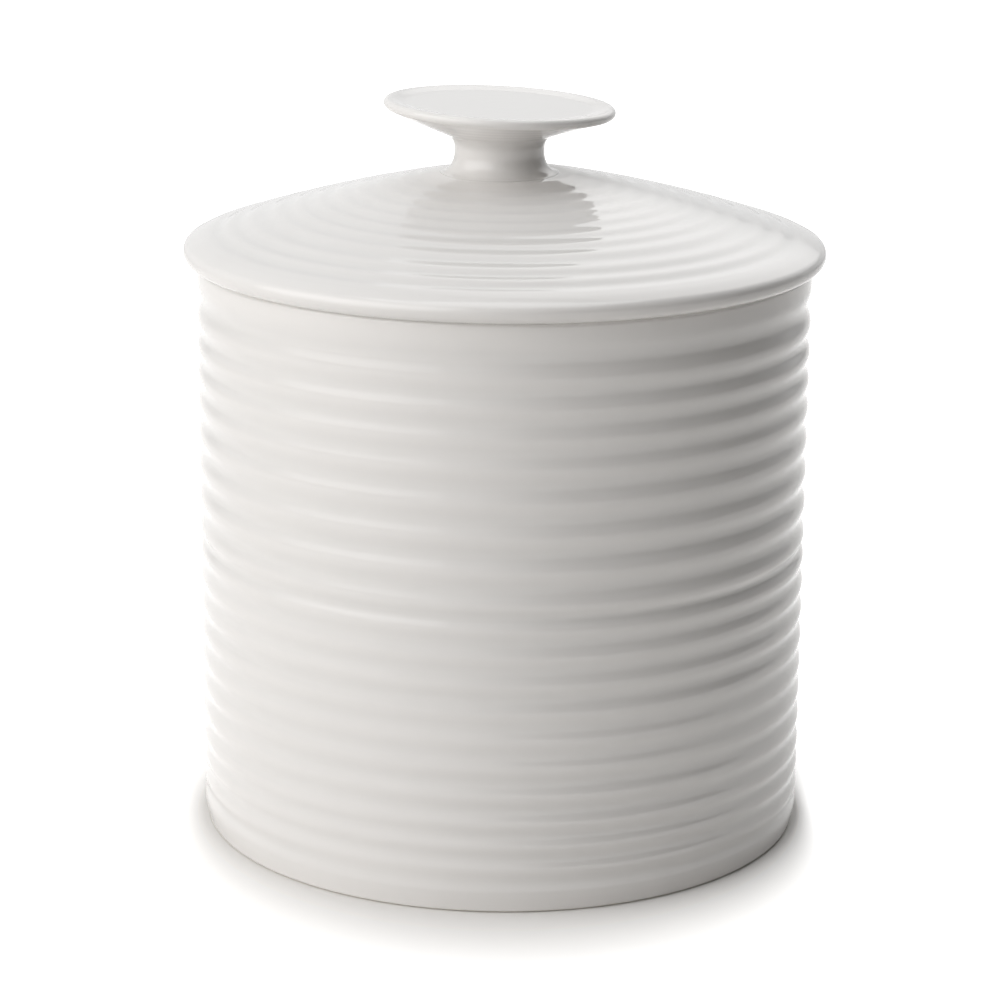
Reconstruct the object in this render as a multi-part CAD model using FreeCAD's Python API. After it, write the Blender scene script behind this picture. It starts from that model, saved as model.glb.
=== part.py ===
"""Porcelain garlic keeper: a ribbed jar, a domed lid that rests on the jar's rim, and the lid's knob.

Millimetres, +Z up. The origin is the centre of the foot ring, on the surface that the jar stands on.
"""
import FreeCAD, Part
import math
import os

# Jar
body_diameter = 130.4          # over the crests of the throwing ribs
jar_height = 123.0             # table to rim
wall = 3.7                     # from the ribs' valleys to the bore
floor_thickness = 4.5
floor_round = 8.0              # where the wall meets the floor inside
foot_inset = 0.8               # foot ring's outer edge, in from the crests
foot_ring_width = 6.0
foot_recess = 2.5              # how far the underside stands off the table
foot_round = 1.0
rib_pitch = 6.0
rib_depth = 0.5
first_rib_height = 1.6
rim_band = 8.5                 # smooth lip above the last rib
lip_rise = 3.5                 # height over which the lip swells out again
lip_round = 20.0
rim_outer_round = 1.1
rim_inner_round = 0.8

# Lid
lid_overhang = 2.8             # how far the lid's edge stands out past the jar
lid_edge_height = 3.5          # from the seat on the jar to the edge's upper corner
lid_edge_under_round = 2.2
lid_edge_top_round = 1.3
shoulder_width = 3.0           # from the edge in to the first ripple
shoulder_height = 4.9          # first ripple, above the seat
knob_land_height = 18.35       # flat at the lid's centre, above the seat
crown_share = 0.72             # 1 makes a cone of the lid, 0 a parabola
ripple_pitch = 4.6
ripple_depth = 0.22
plate_thickness = 4.2
under_lid_round = 4.0
flange_gap = 1.5               # loose fit of the locating flange in the jar's mouth
flange_depth = 12.0
flange_wall = 4.0
flange_round = 1.2
flange_root_round = 0.6

# Knob
knob_foot_diameter = 23.6
knob_waist_diameter = 19.0
knob_disc_diameter = 48.8
knob_flare_height = 4.2        # flare from the foot to the waist
knob_neck_height = 1.1         # straight part of the waist
knob_neck_round = 3.0          # from the waist out under the disc
knob_under_slope = 20.5        # degrees
knob_edge_round = 1.05
knob_dish_depth = 0.7
knob_dish_width = 5.0          # slope from the disc's edge down to the dish's floor
knob_lean = 2.4                # degrees, the disc is lower towards +X
knob_off_centre = 1.3          # set by hand, towards -X
land_margin = 0.8              # flat left bare around the knob's foot

# Worked out from the sizes above
body_radius = body_diameter / 2
valley_radius = body_radius - rib_depth
bore_radius = valley_radius - wall
foot_radius = body_radius - foot_inset
lid_radius = body_radius + lid_overhang
flange_radius = bore_radius - flange_gap
flange_inner_radius = flange_radius - flange_wall
ripples_radius = lid_radius - shoulder_width
land_radius = knob_foot_diameter / 2 + knob_off_centre + land_margin
land_height = jar_height + knob_land_height
waist_radius = knob_waist_diameter / 2

AXIS = FreeCAD.Vector(0, 0, 1)
ORIGIN = FreeCAD.Vector(0, 0, 0)
ARC_STEPS = 6


def at(radius, height):
    """A point of an outline that is turned about the vertical axis."""
    return FreeCAD.Vector(radius, 0, height)


def line(start, end):
    return Part.LineSegment(start, end).toShape()


def arc(start, middle, end):
    return Part.Arc(start, middle, end).toShape()


def rounded_path(start, corners, end):
    """Straight runs from start to end, with an arc of its own radius at each corner between them."""
    edges = []
    here = start
    targets = [corner for corner, _ in corners[1:]] + [end]
    for (corner, radius), target in zip(corners, targets):
        back = (here - corner).normalize()
        ahead = (target - corner).normalize()
        half_angle = back.getAngle(ahead) / 2
        middle = (back + ahead).normalize()
        reach = radius / math.tan(half_angle)
        centre = corner + middle * (radius / math.sin(half_angle))
        arc_start = corner + back * reach
        arc_end = corner + ahead * reach
        edges.append(line(here, arc_start))
        edges.append(arc(arc_start, centre - middle * radius, arc_end))
        here = arc_end
    edges.append(line(here, end))
    return edges


def turned(edges):
    """The solid that a closed outline sweeps about the vertical axis."""
    return Part.Face(Part.Wire(edges)).revolve(ORIGIN, AXIS, 360)


def throwing_ribs(bottom, top):
    """Shallow convex ribs up the wall between two heights, one arc each."""
    count = round((top - bottom) / rib_pitch)
    pitch = (top - bottom) / count
    edges = []
    for rib in range(count):
        low = at(valley_radius, bottom + rib * pitch)
        crest = at(body_radius, bottom + (rib + 0.5) * pitch)
        high = at(valley_radius, bottom + (rib + 1) * pitch)
        edges.append(arc(low, crest, high))
    return edges


def jar_body():
    """Straight-walled vessel, closed below by a floor on a foot ring and open above at a flat rim."""
    ribs_top = jar_height - rim_band
    floor_top = foot_recess + floor_thickness
    ring_inside = foot_radius - foot_ring_width
    ribs = throwing_ribs(first_rib_height, ribs_top)
    rim_and_bore = rounded_path(
        at(valley_radius, ribs_top),
        [(at(body_radius, ribs_top + lip_rise), lip_round),
         (at(body_radius, jar_height), rim_outer_round),
         (at(bore_radius, jar_height), rim_inner_round),
         (at(bore_radius, floor_top), floor_round)],
        at(0, floor_top))
    axis_edge = [line(at(0, floor_top), at(0, foot_recess))]
    foot = rounded_path(
        at(0, foot_recess),
        [(at(ring_inside, foot_recess), foot_round),
         (at(ring_inside, 0), foot_round),
         (at(foot_radius, 0), foot_round)],
        at(valley_radius, first_rib_height))
    return turned(ribs + rim_and_bore + axis_edge + foot)


def dome_height(radius):
    """Height of the lid's top, over its ripples' crests, part cone and part parabola."""
    out = (radius - land_radius) / (ripples_radius - land_radius)
    fall = knob_land_height - shoulder_height
    return land_height - fall * (crown_share * out + (1 - crown_share) * out ** 2)


def lid_ripples():
    """Shallow convex rings from the shoulder in to the knob's land, one arc each."""
    span = ripples_radius - land_radius
    count = round(span / ripple_pitch)
    pitch = span / count
    edges = []
    start = at(ripples_radius, dome_height(ripples_radius))
    for ring in range(count):
        crest_radius = ripples_radius - (ring + 0.5) * pitch
        inner_radius = ripples_radius - (ring + 1) * pitch
        is_last = ring == count - 1
        inner_depth = 0 if is_last else ripple_depth
        crest = at(crest_radius, dome_height(crest_radius))
        end = at(inner_radius, dome_height(inner_radius) - inner_depth)
        edges.append(arc(start, crest, end))
        start = end
    return edges


def lid_cover():
    """Domed plate with a rolled edge over the rim and a flange that keeps it in the jar's mouth."""
    under_land = land_height - plate_thickness
    under_flange = dome_height(flange_inner_radius) - plate_thickness
    flange_bottom = jar_height - flange_depth
    ripples = lid_ripples()
    below = rounded_path(
        at(0, under_land),
        [(at(land_radius, under_land), under_lid_round),
         (at(flange_inner_radius, under_flange), under_lid_round),
         (at(flange_inner_radius, flange_bottom), flange_round),
         (at(flange_radius, flange_bottom), flange_round),
         (at(flange_radius, jar_height), flange_root_round),
         (at(lid_radius, jar_height), lid_edge_under_round),
         (at(lid_radius, jar_height + lid_edge_height), lid_edge_top_round)],
        at(ripples_radius, dome_height(ripples_radius)))
    land = [line(at(land_radius, land_height), at(0, land_height)),
            line(at(0, land_height), at(0, under_land))]
    return turned(below + ripples + land)


def stem_sections():
    """Radius, height over the land and share of the lean, from the knob's foot in to its waist."""
    foot_swell = knob_foot_diameter / 2 - waist_radius
    sections = []
    for step in range(ARC_STEPS + 1):
        turn = math.pi / 2 * step / ARC_STEPS
        radius = waist_radius + foot_swell * (1 - math.sin(turn))
        sections.append((radius, knob_flare_height * (1 - math.cos(turn)), 0))
    return sections


def disc_sections():
    """The same from the neck out along the underside, round the disc's edge and into its dish."""
    slope = math.radians(knob_under_slope)
    neck_top = knob_flare_height + knob_neck_height
    edge_centre = knob_disc_diameter / 2 - knob_edge_round
    cone_end = edge_centre + knob_edge_round * math.sin(slope)
    sections = []
    for step in range(ARC_STEPS + 1):
        turn = (math.pi / 2 - slope) * step / ARC_STEPS
        radius = waist_radius + knob_neck_round * (1 - math.cos(turn))
        height = neck_top + knob_neck_round * math.sin(turn)
        sections.append((radius, height, (radius - waist_radius) / (cone_end - waist_radius)))
    cone_rise = (cone_end - radius) * math.tan(slope)
    edge_height = height + cone_rise + knob_edge_round * math.cos(slope)
    for step in range(ARC_STEPS + 1):
        turn = slope - math.pi / 2 + (math.pi - slope) * step / ARC_STEPS
        radius = edge_centre + knob_edge_round * math.cos(turn)
        sections.append((radius, edge_height + knob_edge_round * math.sin(turn), 1))
    dish_floor = edge_height + knob_edge_round - knob_dish_depth
    sections.append((edge_centre - knob_dish_width, dish_floor, 1))
    return sections


def leaning_circle(radius, height, lean):
    """A round section whose plane is lower towards +X by the lean, in degrees."""
    ring = Part.Wire([Part.makeCircle(radius)])
    centre = FreeCAD.Vector(-knob_off_centre, 0, land_height + height)
    ring.Placement = FreeCAD.Placement(centre, FreeCAD.Rotation(FreeCAD.Vector(0, 1, 0), lean))
    return ring


def lid_knob():
    """Mushroom knob: its lean grows from nothing at the neck to the whole at the disc's edge."""
    sections = stem_sections() + disc_sections()
    rings = [leaning_circle(radius, height, knob_lean * share) for radius, height, share in sections]
    return Part.makeLoft(rings, True, True)


os.makedirs("parts", exist_ok=True)
jar_body().exportStep("parts/jar_body.step")
lid_cover().exportStep("parts/lid_cover.step")
lid_knob().exportStep("parts/lid_knob.step")
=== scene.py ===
"""Looks of a porcelain garlic keeper: a ribbed jar, its rippled lid and the lid's mushroom knob.

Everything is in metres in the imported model's frame: +Z up, the origin under the middle of the jar.
"""
import math
import random
from typing import NamedTuple

import bpy
import numpy as np
from bpy.props import FloatProperty, FloatVectorProperty, IntProperty, PointerProperty
from mathutils import Matrix, Vector


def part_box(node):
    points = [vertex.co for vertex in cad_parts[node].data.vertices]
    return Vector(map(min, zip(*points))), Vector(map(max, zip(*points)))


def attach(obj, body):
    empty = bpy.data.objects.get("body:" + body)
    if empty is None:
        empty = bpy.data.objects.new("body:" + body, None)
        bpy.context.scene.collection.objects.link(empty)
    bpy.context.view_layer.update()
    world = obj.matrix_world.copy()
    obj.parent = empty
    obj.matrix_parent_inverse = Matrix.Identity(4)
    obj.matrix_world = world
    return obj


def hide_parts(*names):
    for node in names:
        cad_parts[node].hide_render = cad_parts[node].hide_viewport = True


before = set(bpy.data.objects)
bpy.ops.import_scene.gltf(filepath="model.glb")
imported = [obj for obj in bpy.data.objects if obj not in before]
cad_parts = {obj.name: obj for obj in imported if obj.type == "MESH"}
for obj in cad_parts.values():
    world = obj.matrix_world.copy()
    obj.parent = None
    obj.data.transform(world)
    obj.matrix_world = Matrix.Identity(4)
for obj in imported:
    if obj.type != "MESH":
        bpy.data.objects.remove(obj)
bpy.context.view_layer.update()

bl_info = {
    "name": "Garlic keeper",
    "version": (1, 0, 0),
    "blender": (4, 5, 0),
    "location": "View3D > Sidebar > Garlic keeper",
    "description": "Ribbed porcelain jar with a lid and a knob, in a plain studio",
    "category": "Add Mesh",
}

MM = 0.001

_, JAR_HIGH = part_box("jar_body")
LID_LOW, LID_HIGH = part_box("lid_cover")
KNOB_LOW, KNOB_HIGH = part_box("lid_knob")
JAR_RADIUS = JAR_HIGH.x
RIM_HEIGHT = JAR_HIGH.z
LID_RADIUS = LID_HIGH.x
LAND_HEIGHT = LID_HIGH.z
KNOB_CENTRE_X = (KNOB_LOW.x + KNOB_HIGH.x) / 2
DISC_RADIUS = KNOB_HIGH.y

# Steps along an outline
ARC_STEPS = 8
WIDE_ARC_STEPS = 2 * ARC_STEPS
FINE_STEP = 0.7 * MM
PLAIN_STEP = 2.0 * MM

QUARTER_TURN = math.pi / 2


def size(name, default, description):
    """A length that the sidebar shows in the scene's own unit."""
    return FloatProperty(name=name, description=description, default=default, min=0.0,
                         unit="LENGTH", subtype="DISTANCE", precision=5)


def slant(name, degrees, description):
    return FloatProperty(name=name, description=description, default=math.radians(degrees),
                         subtype="ANGLE", unit="ROTATION")


def share(name, default, description):
    return FloatProperty(name=name, description=description, default=default, min=0.0, max=1.0,
                         subtype="FACTOR")


def colour(name, default, description):
    return FloatVectorProperty(name=name, description=description, default=default, min=0.0, max=1.0,
                               size=3, subtype="COLOR")


def steps_round(piece, default):
    return IntProperty(name="Segments", description="Steps round the " + piece, default=default, min=48)


class JarSizes(bpy.types.PropertyGroup):
    rib_depth_lip: size("Rib depth at the lip", 0.74 * MM, "Depth of the grooves under the lip")
    rib_depth_middle: size("Rib depth half way", 0.82 * MM, "Depth of the grooves half way up")
    rib_depth_foot: size("Rib depth at the foot", 0.40 * MM, "Depth of the grooves by the foot")
    soft_side: slant("Soft side", -113, "Where the ribs run shallowest, from +X")
    soft_share: share("Soft share", 0.45, "How much shallower the ribs are on the soft side")
    rib_tilt_lip: size("Rib tilt at the lip", 0.15 * MM, "How far a rib drops from the axis to its right")
    rib_tilt_foot: size("Rib tilt at the foot", 0.8 * MM, "The same by the foot")
    lip_drop: size("Lip drop", 4.0 * MM, "From the rim down to the middle of the smooth lip")
    wall: size("Wall", 4.2 * MM, "From the ribs' crests to the bore")
    floor_top: size("Floor height", 7.0 * MM, "Inside floor, over what the jar stands on")
    floor_round: size("Floor round", 8.0 * MM, "Between the wall and the floor, inside")
    foot_inset: size("Foot inset", 0.8 * MM, "Foot ring's outer edge, in from the crests")
    foot_ring_width: size("Foot ring width", 6.0 * MM, "Width of the ring that the jar stands on")
    foot_recess: size("Foot recess", 2.5 * MM, "Underside's height inside the foot ring")
    foot_round: size("Foot round", 1.0 * MM, "Edges of the foot ring")
    rim_outer_round: size("Rim's outer round", 1.1 * MM, "Outer edge of the mouth")
    rim_inner_round: size("Rim's inner round", 0.8 * MM, "Inner edge of the mouth")
    inner_echo: share("Inner echo", 0.35, "How much of each groove shows on the inside of the wall")
    segments: steps_round("jar", 240)


class LidSizes(bpy.types.PropertyGroup):
    first_ripple: size("First ripple", 4.9 * MM, "From the lid's edge in to the first ripple's crest")
    ripple_depth_edge: size("Ripple depth at the edge", 0.25 * MM, "Depth between the outer ripples")
    ripple_depth_middle: size("Ripple depth inside", 0.10 * MM, "Depth between the inner ripples")
    dome_radius: size("Dome radius", 65.0 * MM, "Where the dome meets the rolled edge")
    dome_drop: size("Dome drop", 13.45 * MM, "From the knob's land down to the rolled edge")
    crown: share("Crown", 0.72, "1 makes a cone of the lid, 0 a parabola")
    land_radius: size("Land radius", 13.9 * MM, "Flat under the knob's foot")
    plate: size("Plate", 4.2 * MM, "Thickness of the domed plate")
    under_round: size("Underside round", 4.0 * MM, "Hollows of the underside")
    flange_radius: size("Flange radius", 59.5 * MM, "Outside of the flange that drops into the jar's mouth")
    flange_wall: size("Flange wall", 4.0 * MM, "Thickness of the flange")
    flange_round: size("Flange round", 1.2 * MM, "Lower edges of the flange")
    flange_root_round: size("Flange root round", 0.6 * MM, "Between the flange and the seat")
    edge_height: size("Edge height", 3.5 * MM, "From the seat to the edge's upper corner")
    edge_under_round: size("Edge under round", 2.2 * MM, "Lower side of the rolled edge")
    edge_top_round: size("Edge top round", 2.0 * MM, "Upper side of the rolled edge")
    segments: steps_round("lid", 240)


class KnobSizes(bpy.types.PropertyGroup):
    foot_radius: size("Foot radius", 12.6 * MM, "Where the stem spreads on the lid")
    waist_radius: size("Waist radius", 9.5 * MM, "Narrowest part of the stem")
    flare_height: size("Flare height", 4.2 * MM, "From the lid up to the waist")
    neck_height: size("Neck height", 1.1 * MM, "Straight part of the waist")
    neck_round: size("Neck round", 3.0 * MM, "From the waist out under the disc")
    under_slope: slant("Under slope", 20.5, "Rise of the disc's underside")
    edge_round: size("Edge round", 1.05 * MM, "Rounded edge of the disc")
    dish_depth: size("Dish depth", 0.55 * MM, "Hollow in the disc's top")
    dish_width: size("Dish width", 4.2 * MM, "Slope from the disc's edge down to the hollow")
    lean: slant("Lean", 2.4, "The disc is lower towards +X by this angle")
    under_rings: size("Under rings", 0.03 * MM, "Depth of the turning marks under the disc")
    segments: steps_round("knob", 160)


class GlazeLook(bpy.types.PropertyGroup):
    porcelain: colour("Porcelain", (0.835, 0.818, 0.8), "White body seen through the clear glaze")
    # Painted shade: this darker grey fills the grooves, the rings under the knob's disc and the knob's
    # foot; the clouds and the marks spread it at random too.
    pooled_shade: colour("Pooled glaze", (0.775, 0.765, 0.748), "Where the glaze lies thick in a groove")
    # Painted highlight: this lighter colour goes over the crests; the broad turning marks spread it at
    # random too.
    thin_and_highlight: colour("Thin glaze", (0.862, 0.842, 0.818), "Where the glaze runs thin over a crest")
    clay: colour("Bare clay", (0.78, 0.75, 0.69), "Unglazed foot and flange edge")
    glaze_roughness: share("Glaze roughness", 0.05, "Gloss of the clear glaze")
    clay_roughness: share("Clay roughness", 0.85, "Unglazed foot and flange edge")


class StudioLook(bpy.types.PropertyGroup):
    floor: colour("Floor", (0.86, 0.846, 0.828), "Pale floor")
    floor_in_gloss: share("Floor in gloss", 0.72, "Share of the floor's own white that the glaze mirrors")
    softbox_level: FloatProperty(name="Softboxes", description="Level of all softboxes", default=1.0,
                                 min=0.0)


class Value:
    """One output of a node, on which plain sums and products add Math nodes."""

    def __init__(self, maker, socket):
        self.maker = maker
        self.socket = socket

    def _math(self, operation, *terms, clamped=False):
        settings = {"operation": operation, "use_clamp": clamped}
        return self.maker.node("ShaderNodeMath", settings, dict(enumerate(terms)))

    def __add__(self, other):
        return self._math("ADD", self, other)

    def __radd__(self, other):
        return self._math("ADD", other, self)

    def __sub__(self, other):
        return self._math("SUBTRACT", self, other)

    def __rsub__(self, other):
        return self._math("SUBTRACT", other, self)

    def __mul__(self, other):
        return self._math("MULTIPLY", self, other)

    def __rmul__(self, other):
        return self._math("MULTIPLY", other, self)

    def __truediv__(self, other):
        return self._math("DIVIDE", self, other)

    def __pow__(self, other):
        return self._math("POWER", self, other)

    def clamped(self):
        """The same value, kept between 0 and 1."""
        return self._math("ADD", self, 0.0, clamped=True)


class Nodes:
    """Makes the nodes of one material, lamp or world."""

    def __init__(self, owner):
        owner.use_nodes = True
        self.tree = owner.node_tree
        self.tree.nodes.clear()

    def node(self, kind, settings=None, sockets=None, output=0):
        """Adds a node: its settings first, then its sockets' values or links.

        It gives back one output as a Value, or nothing where output is None.
        """
        made = self.tree.nodes.new(kind)
        for name, value in (settings or {}).items():
            setattr(made, name, value)
        for name, value in (sockets or {}).items():
            target = made.inputs[name]
            if isinstance(value, Value):
                self.tree.links.new(value.socket, target)
            else:
                target.default_value = value
        return None if output is None else Value(self, made.outputs[output])

    def axes(self, vector, names="XYZ"):
        """The named parts of a vector, one Value each."""
        return [self.node("ShaderNodeSeparateXYZ", None, {"Vector": vector}, name) for name in names]

    def mix(self, amount, first, second):
        """A colour between two, by the amount."""
        return self.node("ShaderNodeMix", {"data_type": "RGBA"},
                         {"Factor": amount, 6: first, 7: second}, output=2)

    def noise(self, place, scale, detail):
        return self.node("ShaderNodeTexNoise", None, {"Vector": place, "Scale": scale, "Detail": detail})


def opaque(rgb):
    return (*rgb, 1.0)


def new_material(name):
    material = bpy.data.materials.new(name)
    return material, Nodes(material)


# Noise in the glaze: its scale and how much finer detail it carries. The scale is per metre, and for
# the turning marks it is that of a place stretched out along them.
CLOUDS = (28.0, 3.0)
SKIN = (420.0, 2.0)
GLAZE_EDGE = (90.0, 2.0)
FINE_MARKS = (1.1, 3.0)
BROAD_MARKS = (0.3, 1.0)
MARKS_ALONG = 12.0
MARKS_ACROSS = 1000.0
NOISE_MIDDLE = 0.5

# Where the glaze ends: how far that line wanders up and down, and the height over which it fades out.
EDGE_WANDER = 0.5 * MM
EDGE_FADE = 0.12 * MM

# How much painted shade the grooves get, how much the clouds and the turning marks make the glaze look
# pooled, how much painted highlight the crests get and how much the marks make it look thin. The crests'
# painted highlight starts below a certain depth of painted shade.
SHADE_IN_GROOVES = 0.55
POOLED_IN_CLOUDS = 0.5
POOLED_IN_MARKS = 0.25
CREST_HIGHLIGHT_BELOW = 0.25
HIGHLIGHT_ON_CRESTS = 1.6
THIN_IN_MARKS = 0.6
THIN_AT_MOST = 0.4

CLAY_SHADE = 0.9
GLAZE_IOR = 1.5
ROUGHNESS_DRIFT = 0.04

# Fine relief: its height, and the shares of the turning marks, the glaze's skin and the clay's grain.
RELIEF_HEIGHT = 0.012 * MM
RELIEF_OF_MARKS = 0.5
RELIEF_OF_SKIN = 0.12
RELIEF_OF_CLAY = 1.5


def glazed_porcelain(name, look, across, bare_below):
    """White porcelain under a clear gloss glaze, bare below a height, with turning marks.

    across is "height" for marks that climb a wall and "radius" for rings on a plate.
    """
    material, nodes = new_material(name)
    place = nodes.node("ShaderNodeTexCoord", output="Object")
    x, y, z = nodes.axes(place)
    across_marks = z if across == "height" else (x * x + y * y) ** 0.5
    stretched = nodes.node("ShaderNodeCombineXYZ", None, {
        "X": x * MARKS_ALONG, "Y": y * MARKS_ALONG, "Z": across_marks * MARKS_ACROSS})
    marks = nodes.noise(stretched, *FINE_MARKS)
    broad_marks = nodes.noise(stretched, *BROAD_MARKS)
    cloud = nodes.noise(place, *CLOUDS)
    skin = nodes.noise(place, *SKIN)
    wander = (nodes.noise(place, *GLAZE_EDGE) - NOISE_MIDDLE) * EDGE_WANDER
    # The painted shade of the recesses, which each piece's shape gives.
    recess_shade = nodes.node("ShaderNodeAttribute", {"attribute_name": "recess_shade"}, output="Fac")

    bare = ((bare_below + wander - z) / EDGE_FADE).clamped()
    # Darker glaze: painted shade in the recesses, and clouds and marks at random.
    noise_pooled = (cloud - NOISE_MIDDLE) * POOLED_IN_CLOUDS + (marks - NOISE_MIDDLE) * POOLED_IN_MARKS
    pooled_shade = (recess_shade * SHADE_IN_GROOVES + noise_pooled).clamped()
    # Lighter glaze: a painted highlight over the crests, and broad marks at random.
    noise_thin = (broad_marks - NOISE_MIDDLE) * THIN_IN_MARKS
    thin_and_highlight = ((CREST_HIGHLIGHT_BELOW - recess_shade) * HIGHLIGHT_ON_CRESTS + noise_thin).clamped()
    glaze_colour = nodes.mix(pooled_shade, opaque(look.porcelain), opaque(look.pooled_shade))
    glaze_colour = nodes.mix(thin_and_highlight * THIN_AT_MOST, glaze_colour, opaque(look.thin_and_highlight))
    shaded_clay = [level * CLAY_SHADE for level in look.clay]
    clay_colour = nodes.mix(skin, opaque(look.clay), opaque(shaded_clay))
    glaze_roughness = look.glaze_roughness + (cloud - NOISE_MIDDLE) * ROUGHNESS_DRIFT
    relief = marks * RELIEF_OF_MARKS + broad_marks + skin * (RELIEF_OF_SKIN + bare * RELIEF_OF_CLAY)

    surface = nodes.node("ShaderNodeBsdfPrincipled", None, {
        "Base Color": nodes.mix(bare, glaze_colour, clay_colour),
        "Roughness": glaze_roughness * (1 - bare) + look.clay_roughness * bare,
        "IOR": GLAZE_IOR,
        "Normal": nodes.node("ShaderNodeBump", None, {
            "Strength": 1.0, "Distance": RELIEF_HEIGHT, "Height": relief}),
    })
    nodes.node("ShaderNodeOutputMaterial", None, {"Surface": surface}, output=None)
    return material


def arc(centre, radii, start, end, steps):
    """Points on a circle or an upright ellipse, from one angle to another."""
    points = []
    for step in range(steps + 1):
        turn = start + (end - start) * step / steps
        points.append(centre + Vector((radii[0] * math.cos(turn), radii[1] * math.sin(turn))))
    return points


def fillet(before, corner, after, radius):
    """The arc of that radius between two straight runs that meet at the corner."""
    back = (before - corner).normalized()
    ahead = (after - corner).normalized()
    half = back.angle(ahead) / 2
    reach = radius / math.tan(half)
    centre = corner + (back + ahead).normalized() * (radius / math.sin(half))
    first = corner + back * reach - centre
    last = corner + ahead * reach - centre
    turn = first.angle(last)
    points = []
    for step in range(ARC_STEPS + 1):
        part = turn * step / ARC_STEPS
        points.append(centre + (first * math.sin(turn - part) + last * math.sin(part)) / math.sin(turn))
    return points


def outline(corners, longest):
    """Points through corners of (radius, height, round), with the straight runs cut into short steps.

    The first corner and the last have no round.
    """
    places = [Vector(corner[:2]) for corner in corners]
    knots = [places[0]]
    for index in range(1, len(corners) - 1):
        before, corner, after = places[index - 1:index + 2]
        knots += fillet(before, corner, after, corners[index][2])
    knots.append(places[-1])
    points = [knots[0]]
    for start, end in zip(knots, knots[1:]):
        steps = max(1, math.ceil((end - start).length / longest))
        points += [start.lerp(end, step / steps) for step in range(1, steps + 1)]
    return points


# Throwing marks, counted from the lip down the jar and from the edge in to the lid's middle:
# how many follow at each spacing, in millimetres.
RIB_RUNS = ((1, 7.8), (3, 6.07), (4, 6.98), (1, 4.8), (7, 5.9), (3, 4.87))
RIPPLE_RUNS = ((2, 4.5), (1, 5.7), (7, 4.4))
RIB_SEED = 3
RIPPLE_SEED = 11

# Share of its full depth that a groove may have
SHALLOWEST = 0.82
DEEPEST = 1.12


class Wave(NamedTuple):
    """A slow wave round a turned piece, which keeps its marks from being perfectly even."""
    amount: float
    waves: int           # in one turn
    twist: float         # radians from the bottom to the top
    start: float         # radians

    def at(self, angle, up=0.0):
        """Its value at an angle round the axis and a share of the height."""
        return self.amount * np.sin(self.waves * angle + self.twist * up + self.start)


RIB_WOBBLE = Wave(amount=0.12 * MM, waves=2, twist=9.0, start=0.0)
RIB_UNEVENNESS = Wave(amount=0.1, waves=1, twist=14.0, start=1.0)
RIPPLE_WOBBLE = Wave(amount=0.1 * MM, waves=2, twist=0.0, start=0.6)


def crest_places(first, runs):
    """Places of a row of crests, from the first one down or in, in rising order."""
    places = [first]
    for count, spacing in runs:
        for _ in range(count):
            places.append(places[-1] - spacing * MM)
    return np.array(places[::-1])


def ring_marks(phase):
    """Even marks, one apart: 0 on each whole number and 1 half way between two."""
    return 0.5 - 0.5 * np.cos(math.tau * phase)


def grooves(place, crests, seed):
    """How deep a point lies between its two crests, from 0 on a crest to about 1 in a groove."""
    phase = np.interp(place, crests, np.arange(len(crests)))
    draw = random.Random(seed)
    depths = np.array([draw.uniform(SHALLOWEST, DEEPEST) for _ in crests])
    groove = np.clip(phase.astype(int), 0, len(crests) - 2)
    return ring_marks(phase) * depths[groove]


def turned(name, points, segments, shape):
    """Sweeps an outline that starts and ends on the axis, bottom first.

    shape gives x, y, z and the painted shade of the recesses for a radius, a height and an angle.
    """
    radii = np.array([point.x for point in points])
    heights = np.array([point.y for point in points])
    angles = np.arange(segments) * math.tau / segments
    radius, angle = np.meshgrid(radii[1:-1], angles, indexing="ij")
    height = np.repeat(heights[1:-1, None], segments, axis=1)
    rings = np.stack(shape(radius, height, angle), axis=-1).reshape(-1, 4)
    ends = np.stack(shape(radii[[0, -1]] * 0, heights[[0, -1]], np.zeros(2)), axis=-1)
    rows = np.vstack([rings, ends])
    bottom, top = len(rings), len(rings) + 1
    last = len(points) - 3
    faces = []
    for step in range(segments):
        after = (step + 1) % segments
        faces.append((bottom, after, step))
        for ring in range(last):
            low, high = ring * segments, (ring + 1) * segments
            faces.append((low + step, low + after, high + after, high + step))
        faces.append((last * segments + step, last * segments + after, top))
    mesh = bpy.data.meshes.new(name)
    mesh.from_pydata(rows[:, :3].tolist(), [], faces)
    mesh.polygons.foreach_set("use_smooth", [True] * len(faces))
    # Painted shade of the recesses, kept on the mesh for its glaze.
    recess_shade = mesh.attributes.new("recess_shade", "FLOAT", "POINT")
    recess_shade.data.foreach_set("value", rows[:, 3].astype(np.float32))
    unrolled_map(mesh, points, segments)
    mesh.update()
    piece = bpy.data.objects.new(name, mesh)
    bpy.context.scene.collection.objects.link(piece)
    return piece


def unrolled_map(mesh, points, segments):
    """Lays the surface out flat: once round in one direction, the outline's length in the other."""
    lengths = np.cumsum([0.0] + [(end - start).length for start, end in zip(points, points[1:])])
    up = lengths / lengths[-1]
    flat = []
    for step in range(segments):
        left, right = step / segments, (step + 1) / segments
        middle = (left + right) / 2
        flat += [(middle, up[0]), (right, up[1]), (left, up[1])]
        for ring in range(1, len(points) - 2):
            flat += [(left, up[ring]), (right, up[ring]), (right, up[ring + 1]), (left, up[ring + 1])]
        flat += [(left, up[-2]), (right, up[-2]), (middle, up[-1])]
    layer = mesh.uv_layers.new(name="OFBake")
    layer.data.foreach_set("uv", np.array(flat, np.float32).ravel())


def finished(piece, body, node, material):
    """Gives a piece its finish and its place in the frame, and hides the CAD node that it stands for."""
    piece.data.materials.append(material)
    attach(piece, body)
    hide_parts(node)


def jar_crests(sizes):
    return crest_places(RIM_HEIGHT - sizes.lip_drop, RIB_RUNS)


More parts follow.
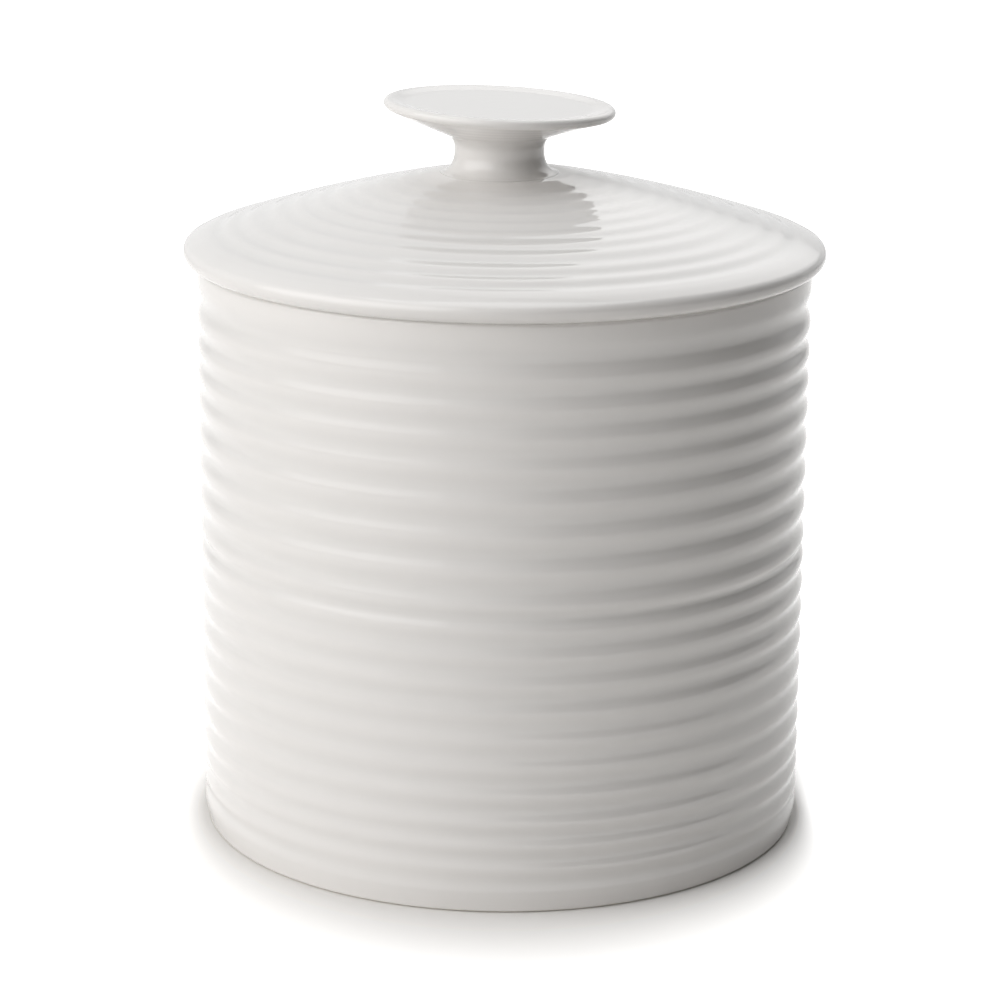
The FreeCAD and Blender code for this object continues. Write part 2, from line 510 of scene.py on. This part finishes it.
def jar_outline(sizes):
    """From the underside's middle out over the foot ring, up the wall, over the rim and down inside."""
    foot = JAR_RADIUS - sizes.foot_inset
    ring_inside = foot - sizes.foot_ring_width
    bore = JAR_RADIUS - sizes.wall
    wall_start = jar_crests(sizes)[0]
    lip_middle = RIM_HEIGHT - sizes.lip_drop
    under = outline([
        (0, sizes.foot_recess),
        (ring_inside, sizes.foot_recess, sizes.foot_round),
        (ring_inside, 0, sizes.foot_round),
        (foot, 0, sizes.foot_round),
        (JAR_RADIUS, wall_start)], PLAIN_STEP)
    wall = outline([(JAR_RADIUS, wall_start), (JAR_RADIUS, lip_middle)], FINE_STEP)
    inside = outline([
        (JAR_RADIUS, lip_middle),
        (JAR_RADIUS, RIM_HEIGHT, sizes.rim_outer_round),
        (bore, RIM_HEIGHT, sizes.rim_inner_round),
        (bore, sizes.floor_top, sizes.floor_round),
        (0, sizes.floor_top)], PLAIN_STEP)
    return under + wall[1:] + inside[1:]


def jar_shape(sizes):
    """Places the jar's rings: ribs on the wall, a faint echo of them inside and a spiral on the floor."""
    crests = jar_crests(sizes)
    bore = JAR_RADIUS - sizes.wall
    floor_edge = bore - sizes.floor_round
    wall_band = 1.2 * MM     # rings this close to the crests' radius are on the outside
    bore_band = 0.1 * MM     # and rings this close to the bore are on the inside
    echo_start = 2 * sizes.floor_top
    spiral_pitch = 7.0 * MM
    spiral_depth = 0.12 * MM

    def rib_depth(up, angle):
        """Depth of the grooves, less on the soft side and up to 45 degrees either way from it."""
        depths = (sizes.rib_depth_foot, sizes.rib_depth_middle, sizes.rib_depth_lip)
        off_soft = angle - sizes.soft_side
        soft = sizes.soft_share * np.clip(np.cos(2 * off_soft), 0, 1) * (np.cos(off_soft) > 0)
        return np.interp(up, (0, 0.5, 1), depths) * (1 + RIB_UNEVENNESS.at(angle, up)) * (1 - soft)

    def shape(radius, height, angle):
        up = height / RIM_HEIGHT
        tilt = sizes.rib_tilt_foot + (sizes.rib_tilt_lip - sizes.rib_tilt_foot) * up
        depth = rib_depth(up, angle)
        groove = grooves(height + tilt * np.cos(angle) + RIB_WOBBLE.at(angle, up), crests, RIB_SEED)
        on_wall = radius > JAR_RADIUS - wall_band
        on_bore = np.abs(radius - bore) < bore_band
        echo = sizes.inner_echo * np.clip((height - echo_start) / echo_start, 0, 1)
        follows = np.where(on_wall, 1.0, np.where(on_bore, echo, 0.0))
        out = radius - groove * depth * follows
        on_floor = (height == sizes.floor_top) & (radius < floor_edge)
        spiral = np.cos(math.tau * radius / spiral_pitch - angle) * spiral_depth * on_floor
        spiral = spiral * np.clip(radius / spiral_pitch, 0, 1)
        spiral = spiral * np.clip((floor_edge - radius) / spiral_pitch, 0, 1)
        # Painted shade: the deeper the groove, the darker its glaze.
        recess_shade = groove * follows * depth / sizes.rib_depth_middle
        return out * np.cos(angle), out * np.sin(angle), height + spiral, recess_shade

    return shape


def dome_height(sizes, radius):
    """Height of the lid's top over its crests, part cone and part parabola."""
    out = (radius - sizes.land_radius) / (sizes.dome_radius - sizes.land_radius)
    return LAND_HEIGHT - sizes.dome_drop * (sizes.crown * out + (1 - sizes.crown) * out * out)


def lid_outline(sizes):
    """From the underside's middle out to the flange, round the seat and the edge, and over the dome."""
    flange_inside = sizes.flange_radius - sizes.flange_wall
    below = outline([
        (0, LAND_HEIGHT - sizes.plate),
        (sizes.land_radius, LAND_HEIGHT - sizes.plate, sizes.under_round),
        (flange_inside, dome_height(sizes, flange_inside) - sizes.plate, sizes.under_round),
        (flange_inside, LID_LOW.z, sizes.flange_round),
        (sizes.flange_radius, LID_LOW.z, sizes.flange_round),
        (sizes.flange_radius, RIM_HEIGHT, sizes.flange_root_round),
        (LID_RADIUS, RIM_HEIGHT, sizes.edge_under_round),
        (LID_RADIUS, RIM_HEIGHT + sizes.edge_height, sizes.edge_top_round),
        (sizes.dome_radius, dome_height(sizes, sizes.dome_radius))], PLAIN_STEP)
    steps = round((sizes.dome_radius - sizes.land_radius) / FINE_STEP)
    radii = np.linspace(sizes.dome_radius, sizes.land_radius, steps + 1)[1:]
    dome = [Vector((radius, dome_height(sizes, radius))) for radius in radii]
    land = outline([(sizes.land_radius, LAND_HEIGHT), (0, LAND_HEIGHT)], PLAIN_STEP)
    return below + dome + land[1:]


def lid_shape(sizes):
    """Places the lid's rings, with ripples over the top of the dome."""
    crests = crest_places(LID_RADIUS - sizes.first_ripple, RIPPLE_RUNS)
    edge_fade = 1.6 * MM     # the ripples fade in over this from the rolled edge
    land_fade = 3.0 * MM     # and fade out over this to the knob's land

    def shape(radius, height, angle):
        out = np.clip((radius - sizes.land_radius) / (sizes.dome_radius - sizes.land_radius), 0, 1)
        depth = sizes.ripple_depth_middle + (sizes.ripple_depth_edge - sizes.ripple_depth_middle) * out
        on_top = height > dome_height(sizes, radius) - sizes.plate / 2
        follows = np.clip((sizes.dome_radius - radius) / edge_fade, 0, 1) * on_top
        follows = follows * np.clip((radius - sizes.land_radius) / land_fade, 0, 1)
        groove = grooves(radius + RIPPLE_WOBBLE.at(angle), crests, RIPPLE_SEED) * follows
        lowered = height - groove * depth
        # Painted shade: the deeper the ripple's groove, the darker its glaze.
        recess_shade = groove * depth / sizes.ripple_depth_edge
        return radius * np.cos(angle), radius * np.sin(angle), lowered, recess_shade

    return shape


def disc_places(sizes):
    """The neck's top, the radius where the disc's straight underside ends, and its edge's middle height.

    Both heights are over the lid.
    """
    neck_top = sizes.flare_height + sizes.neck_height
    edge_centre = DISC_RADIUS - sizes.edge_round
    cone_start = sizes.waist_radius + sizes.neck_round * (1 - math.sin(sizes.under_slope))
    cone_end = edge_centre + sizes.edge_round * math.sin(sizes.under_slope)
    cone_low = neck_top + sizes.neck_round * math.cos(sizes.under_slope)
    cone_high = cone_low + (cone_end - cone_start) * math.tan(sizes.under_slope)
    edge_height = cone_high + sizes.edge_round * math.cos(sizes.under_slope)
    return neck_top, cone_end, edge_height


def knob_outline(sizes):
    """From the foot's middle out, up the flared stem, under the disc, round its edge and into its dish."""
    neck_top, _, edge_height = disc_places(sizes)
    steep = QUARTER_TURN - sizes.under_slope
    foot = outline([(0, 0), (sizes.foot_radius, 0)], PLAIN_STEP)
    swell = sizes.foot_radius - sizes.waist_radius
    flare_centre = Vector((sizes.foot_radius, sizes.flare_height))
    flare_radii = (swell, sizes.flare_height)
    flare = arc(flare_centre, flare_radii, -QUARTER_TURN, -math.pi, WIDE_ARC_STEPS)
    neck_centre = Vector((sizes.waist_radius + sizes.neck_round, neck_top))
    neck = arc(neck_centre, (sizes.neck_round,) * 2, math.pi, math.pi - steep, ARC_STEPS)
    edge_centre = Vector((DISC_RADIUS - sizes.edge_round, edge_height))
    edge = arc(edge_centre, (sizes.edge_round,) * 2, -steep, QUARTER_TURN, WIDE_ARC_STEPS)
    under = outline([neck[-1], edge[0]], FINE_STEP)
    dish = []
    for step in range(1, WIDE_ARC_STEPS + 1):
        part = step / WIDE_ARC_STEPS
        fall = sizes.dish_depth * (0.5 - 0.5 * math.cos(math.pi * part))
        dish.append(edge[-1] + Vector((-sizes.dish_width * part, -fall)))
    middle = outline([dish[-1], (0, dish[-1].y)], PLAIN_STEP)
    return foot + flare[1:] + neck + under[1:] + edge[1:] + dish + middle[1:]


def knob_shape(sizes):
    """Places the knob's rings: upright at the stem, leaning more and more out to the disc's edge."""
    neck_top, cone_end, edge_height = disc_places(sizes)
    ring_pitch = 2.6 * MM
    # Painted shade at the stem's foot, where it meets the lid, and in the rings under the disc.
    shade_at_foot = 0.8
    shade_in_rings = 0.3

    def shape(radius, height, angle):
        out = np.clip((radius - sizes.waist_radius) / (cone_end - sizes.waist_radius), 0, 1)
        under = (height > neck_top) & (height < edge_height)
        lean = sizes.lean * np.where(height >= edge_height, 1.0, np.where(under, out, 0.0))
        half_way_out = 4 * out * (1 - out)
        ring = ring_marks(radius / ring_pitch) * under * half_way_out
        lifted = height + ring * sizes.under_rings
        x = radius * np.cos(angle)
        turned_x = KNOB_CENTRE_X + x * np.cos(lean)
        turned_z = LAND_HEIGHT + lifted - x * np.sin(lean)
        at_foot = np.clip(1 - height / sizes.flare_height, 0, 1)
        # Painted shade, darkest at the stem's foot and in the rings under the disc.
        recess_shade = at_foot * shade_at_foot + ring * shade_in_rings
        return turned_x, radius * np.sin(angle), turned_z, recess_shade

    return shape


class KEEPER_OT_jar(bpy.types.Operator):
    """Build the ribbed jar"""
    bl_idname = "keeper.jar"
    bl_label = "Jar"

    def execute(self, context):
        sizes = context.scene.keeper_jar
        piece = turned("jar_vessel", jar_outline(sizes), sizes.segments, jar_shape(sizes))
        glaze_line = 0.45 * MM
        material = glazed_porcelain("glazed_jar", context.scene.keeper_glaze, "height", glaze_line)
        finished(piece, "jar", "jar_body", material)
        return {"FINISHED"}


class KEEPER_OT_lid(bpy.types.Operator):
    """Build the domed lid with its flange"""
    bl_idname = "keeper.lid"
    bl_label = "Lid"

    def execute(self, context):
        sizes = context.scene.keeper_lid
        piece = turned("lid_plate", lid_outline(sizes), sizes.segments, lid_shape(sizes))
        glaze_line = LID_LOW.z + 0.9 * MM
        material = glazed_porcelain("glazed_lid", context.scene.keeper_glaze, "radius", glaze_line)
        finished(piece, "lid", "lid_cover", material)
        return {"FINISHED"}


class KEEPER_OT_knob(bpy.types.Operator):
    """Build the mushroom knob"""
    bl_idname = "keeper.knob"
    bl_label = "Knob"

    def execute(self, context):
        sizes = context.scene.keeper_knob
        piece = turned("knob_mushroom", knob_outline(sizes), sizes.segments, knob_shape(sizes))
        material = glazed_porcelain("glazed_knob", context.scene.keeper_glaze, "radius", bare_below=0.0)
        finished(piece, "lid", "lid_knob", material)
        return {"FINISHED"}


class Softbox(NamedTuple):
    """A rectangular lamp that faces the object and is brightest at a peak half way up."""
    side: float          # degrees seen from above, 0 at the camera and 90 on the right
    height: float        # degrees up
    distance: float
    width: float
    tall: float
    peak: float          # place across the width where it is brightest
    level: float         # at the peak
    edge: float          # share of the level that is left half its size away from the peak
    tint: tuple


SOFTBOXES = {
    "key_softbox": Softbox(
        side=-57, height=27, distance=1.1, width=1.7, tall=1.15,
        peak=0.52, level=2.72, edge=0.45, tint=(1.0, 0.99, 0.98)),
    "front_softbox": Softbox(
        side=-8, height=20, distance=1.4, width=0.9, tall=0.9,
        peak=0.5, level=0.2, edge=1.0, tint=(1.0, 0.99, 0.98)),
    "back_softbox": Softbox(
        side=150, height=38, distance=1.1, width=1.3, tall=1.0,
        peak=0.5, level=1.28, edge=0.3, tint=(1.0, 0.995, 0.985)),
    "left_softbox": Softbox(
        side=-138, height=50, distance=1.1, width=1.3, tall=0.8,
        peak=0.5, level=0.15, edge=0.6, tint=(0.98, 0.99, 1.0)),
    "top_softbox": Softbox(
        side=0, height=88, distance=1.0, width=0.9, tall=0.9,
        peak=0.5, level=1.6, edge=1.0, tint=(0.98, 0.99, 1.0)),
}
AIM = Vector((0, 0, 0.08))

# Where a gloss mirrors the white surroundings, they are dark on one side: the side, as for a softbox,
# and the cosines of the angle from it between which white fades to dark.
DARK_SIDE = math.radians(60)
LIT_BELOW = 0.3
DARK_ABOVE = 0.8

# The painted shadow on the floor, where its white glow fades out: how far from the jar's middle it
# starts, how far it reaches to the front and the back, and the shares by which it is narrower at the
# sides, more so on the right.
SHADOW_START = 0.0654
SHADOW_REACH = 0.054
SHADOW_NARROWER = 0.87
SHADOW_NARROWER_RIGHT = 0.05

CAMERA_PLACE = Vector((-0.0006, -0.6903, 0.2606))
CAMERA_PITCH = math.radians(15.48)
CAMERA_ROLL = 0.0079
CAMERA_LENS = 118.95


def add_softbox(name, softbox, level_share):
    """Adds the lamp, which the camera doesn't see."""
    lamp = bpy.data.lights.new(name, "AREA")
    lamp.shape = "RECTANGLE"
    lamp.size = softbox.width
    lamp.size_y = softbox.tall
    lamp.energy = softbox.level * level_share * math.pi * softbox.width * softbox.tall
    lamp.color = softbox.tint
    nodes = Nodes(lamp)
    across, up = nodes.axes(nodes.node("ShaderNodeNewGeometry", output="Parametric"), "XY")
    half_widths = (across - softbox.peak) * 2
    half_heights = (up - 0.5) * 2
    off_peak = half_widths * half_widths + half_heights * half_heights
    falloff = 1 - (off_peak * (1 - softbox.edge)).clamped()
    glow = nodes.node("ShaderNodeEmission", None, {"Color": falloff, "Strength": 1.0})
    nodes.node("ShaderNodeOutputLight", None, {"Surface": glow}, output=None)
    made = bpy.data.objects.new(name, lamp)
    turn = math.radians(softbox.side)
    rise = math.radians(softbox.height)
    away = Vector((math.sin(turn) * math.cos(rise), -math.cos(turn) * math.cos(rise), math.sin(rise)))
    facing = away.to_track_quat("Z", "Y").to_matrix().to_4x4()
    made.matrix_world = Matrix.Translation(AIM + away * softbox.distance) @ facing
    made.visible_camera = False
    bpy.context.scene.collection.objects.link(made)


def seen_directly(nodes, in_gloss):
    """1 where the camera sees a surface itself, in_gloss where a gloss mirrors it, 0 for its light."""
    by_camera = nodes.node("ShaderNodeLightPath", output="Is Camera Ray")
    by_gloss = nodes.node("ShaderNodeLightPath", output="Is Glossy Ray")
    return (by_camera + by_gloss * in_gloss).clamped()


def white_world():
    """White where it is seen, but dark on one side in a gloss. It lights nothing itself."""
    world = bpy.data.worlds.new("studio")
    bpy.context.scene.world = world
    nodes = Nodes(world)
    direction = nodes.node("ShaderNodeTexCoord", output="Generated")
    dark_way = (math.sin(DARK_SIDE), -math.cos(DARK_SIDE), 0.0)
    towards = nodes.node("ShaderNodeVectorMath", {"operation": "DOT_PRODUCT"},
                         {0: direction, 1: dark_way}, output="Value")
    in_gloss = ((DARK_ABOVE - towards) / (DARK_ABOVE - LIT_BELOW)).clamped()
    dark = nodes.node("ShaderNodeBackground", None, {"Strength": 0.0})
    white = nodes.node("ShaderNodeBackground", None, {"Color": opaque((1.0, 1.0, 1.0)), "Strength": 1.0})
    shown = nodes.node("ShaderNodeMixShader", None, {
        0: seen_directly(nodes, in_gloss), 1: dark, 2: white})
    nodes.node("ShaderNodeOutputWorld", None, {"Surface": shown}, output=None)


def studio_floor(look):
    """A wide pale floor that glows white where it is seen, apart from a painted shadow round the jar."""
    half = 3.0
    mesh = bpy.data.meshes.new("studio_floor")
    corners = [(-half, -half, 0), (half, -half, 0), (half, half, 0), (-half, half, 0)]
    mesh.from_pydata(corners, [], [(0, 1, 2, 3)])
    floor = bpy.data.objects.new("studio_floor", mesh)
    bpy.context.scene.collection.objects.link(floor)
    material, nodes = new_material("pale_floor")
    x, y = nodes.axes(nodes.node("ShaderNodeTexCoord", output="Object"), "XY")
    away = (x * x + y * y) ** 0.5
    side = x / away
    narrowed = 1 - (side * SHADOW_NARROWER_RIGHT + SHADOW_NARROWER) * side * side
    # Painted shadow: the floor's white glow fades out towards the jar, where its real shadow shows too.
    glow = ((away - SHADOW_START) / (narrowed * SHADOW_REACH)).clamped()
    white = nodes.node("ShaderNodeEmission", None, {
        "Color": glow * seen_directly(nodes, look.floor_in_gloss), "Strength": 1.0})
    matt = nodes.node("ShaderNodeBsdfDiffuse", None, {"Color": opaque(look.floor)})
    both = nodes.node("ShaderNodeAddShader", None, {0: white, 1: matt})
    nodes.node("ShaderNodeOutputMaterial", None, {"Surface": both}, output=None)
    mesh.materials.append(material)


def studio_camera():
    camera = bpy.data.objects.new("camera", bpy.data.cameras.new("camera"))
    camera.data.lens = CAMERA_LENS
    tilt = Matrix.Rotation(QUARTER_TURN - CAMERA_PITCH, 4, "X")
    camera.matrix_world = Matrix.Translation(CAMERA_PLACE) @ tilt @ Matrix.Rotation(CAMERA_ROLL, 4, "Z")
    bpy.context.scene.collection.objects.link(camera)
    bpy.context.scene.camera = camera


class KEEPER_OT_stage(bpy.types.Operator):
    """Build the plain studio: floor, white surroundings, softboxes and camera"""
    bl_idname = "keeper.stage"
    bl_label = "Stage"

    def execute(self, context):
        look = context.scene.keeper_studio
        context.scene.view_settings.view_transform = "Standard"
        studio_camera()
        white_world()
        studio_floor(look)
        for name, softbox in SOFTBOXES.items():
            add_softbox(name, softbox, look.softbox_level)
        return {"FINISHED"}


OPERATORS = (KEEPER_OT_stage, KEEPER_OT_jar, KEEPER_OT_lid, KEEPER_OT_knob)
GROUPS = {
    "keeper_jar": JarSizes,
    "keeper_lid": LidSizes,
    "keeper_knob": KnobSizes,
    "keeper_glaze": GlazeLook,
    "keeper_studio": StudioLook,
}


class KEEPER_PT_sidebar(bpy.types.Panel):
    """Sizes, finishes and the operators that build each piece"""
    bl_idname = "KEEPER_PT_sidebar"
    bl_label = "Garlic keeper"
    bl_space_type = "VIEW_3D"
    bl_region_type = "UI"
    bl_category = "Garlic keeper"

    def draw(self, context):
        layout = self.layout
        for operator in OPERATORS:
            layout.operator(operator.bl_idname)
        for group, kind in GROUPS.items():
            box = layout.box()
            for name in kind.__annotations__:
                box.prop(getattr(context.scene, group), name)


CLASSES = (*GROUPS.values(), *OPERATORS, KEEPER_PT_sidebar)


def register():
    for kind in CLASSES:
        bpy.utils.register_class(kind)
    for name, kind in GROUPS.items():
        setattr(bpy.types.Scene, name, PointerProperty(type=kind))


def unregister():
    for name in GROUPS:
        delattr(bpy.types.Scene, name)
    for kind in reversed(CLASSES):
        bpy.utils.unregister_class(kind)


def main():
    register()
    for operator in OPERATORS:
        group, name = operator.bl_idname.split(".")
        getattr(getattr(bpy.ops, group), name)()


if __name__ == "__main__":
    main()
